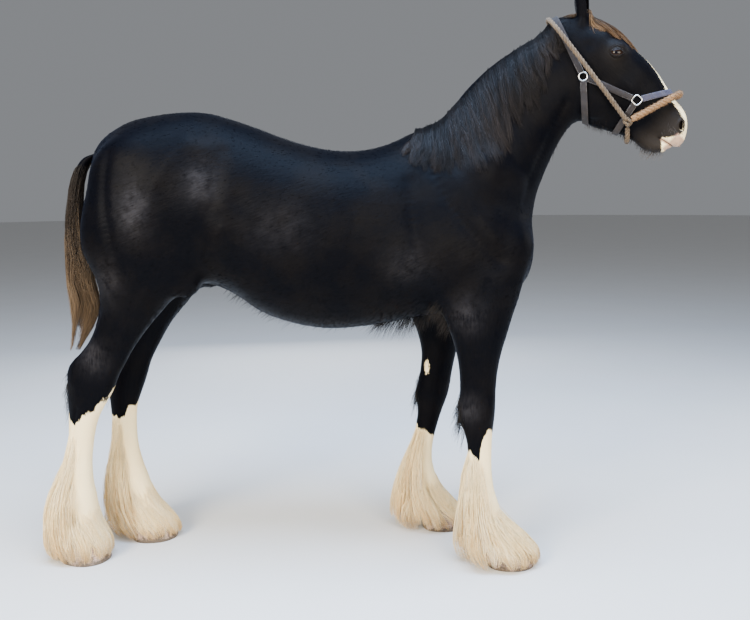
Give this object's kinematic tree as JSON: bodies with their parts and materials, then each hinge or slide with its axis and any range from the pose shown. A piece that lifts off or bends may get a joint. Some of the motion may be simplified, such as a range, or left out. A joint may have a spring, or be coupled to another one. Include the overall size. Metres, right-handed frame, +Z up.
{
  "type": "shire horse",
  "caption": "Black shire horse with white feathered legs standing still in a headcollar and rope halter; a life-size model that rests on its hooves.",
  "frame": {"origin": "on the floor under the middle of the bounding box", "axes": "+X towards the nose, -Y towards the horse's right side, +Z up"},
  "size_m": [2.5264, 0.6359, 2.3],
  "materials": {
    "collar_cheek_left": "taupe woven web",
    "collar_cheek_right": "taupe woven web",
    "collar_chin_strap": "taupe woven web",
    "collar_crown_strap": "taupe woven web",
    "collar_noseband": "lilac-blue woven web",
    "collar_ring_nose_left": "polished steel ring",
    "collar_ring_nose_right": "polished steel ring",
    "collar_ring_throat_left": "polished steel ring",
    "collar_ring_throat_right": "polished steel ring",
    "collar_throat_strap": "taupe woven web",
    "ear_left": "short black coat",
    "ear_right": "short black coat",
    "eye_left": "wet dark brown eye",
    "eye_right": "wet dark brown eye",
    "foreleg_lower_left": "long white feather hair over the leg",
    "foreleg_lower_right": "long white feather hair over the leg",
    "foreleg_upper_left": "short glossy black coat",
    "foreleg_upper_right": "short glossy black coat",
    "halter_chin_rope": "twisted beige rope",
    "halter_crown_rope": "twisted beige rope",
    "halter_knot_left": "twisted rope",
    "halter_knot_right": "twisted rope",
    "halter_nose_rope": "fuzzy tan noseband",
    "head": "short black coat, white blaze, brown-black forelock in locks",
    "hindleg_lower_left": "long white feather hair over the leg",
    "hindleg_lower_right": "long white feather hair over the leg",
    "hindleg_upper_left": "short glossy black coat",
    "hindleg_upper_right": "short glossy black coat",
    "hoof_fore_left": "pale horn",
    "hoof_fore_right": "pale horn",
    "hoof_hind_left": "pale horn",
    "hoof_hind_right": "pale horn",
    "neck": "short black coat with a long black-brown mane in locks",
    "tail": "long hair, black with sun-bleached brown outer locks",
    "torso": "short glossy black coat"
  },
  "bodies": {
    "root": {"collar_cheek_left": "collar_cheek_left", "collar_cheek_right": "collar_cheek_right", "collar_chin_strap": "collar_chin_strap", "collar_crown_strap": "collar_crown_strap", "collar_noseband": "collar_noseband", "collar_ring_nose_left": "collar_ring_nose_left", "collar_ring_nose_right": "collar_ring_nose_right", "collar_ring_throat_left": "collar_ring_throat_left", "collar_ring_throat_right": "collar_ring_throat_right", "collar_throat_strap": "collar_throat_strap", "ear_left": "ear_left", "ear_right": "ear_right", "eye_left": "eye_left", "eye_right": "eye_right", "foreleg_lower_left": "foreleg_lower_left", "foreleg_lower_right": "foreleg_lower_right", "foreleg_upper_left": "foreleg_upper_left", "foreleg_upper_right": "foreleg_upper_right", "halter_chin_rope": "halter_chin_rope", "halter_crown_rope": "halter_crown_rope", "halter_knot_left": "halter_knot_left", "halter_knot_right": "halter_knot_right", "halter_nose_rope": "halter_nose_rope", "head": "head", "hindleg_lower_left": "hindleg_lower_left", "hindleg_lower_right": "hindleg_lower_right", "hindleg_upper_left": "hindleg_upper_left", "hindleg_upper_right": "hindleg_upper_right", "hoof_fore_left": "hoof_fore_left", "hoof_fore_right": "hoof_fore_right", "hoof_hind_left": "hoof_hind_left", "hoof_hind_right": "hoof_hind_right", "neck": "neck", "tail": "tail", "torso": "torso"}
  },
  "joints": []
}
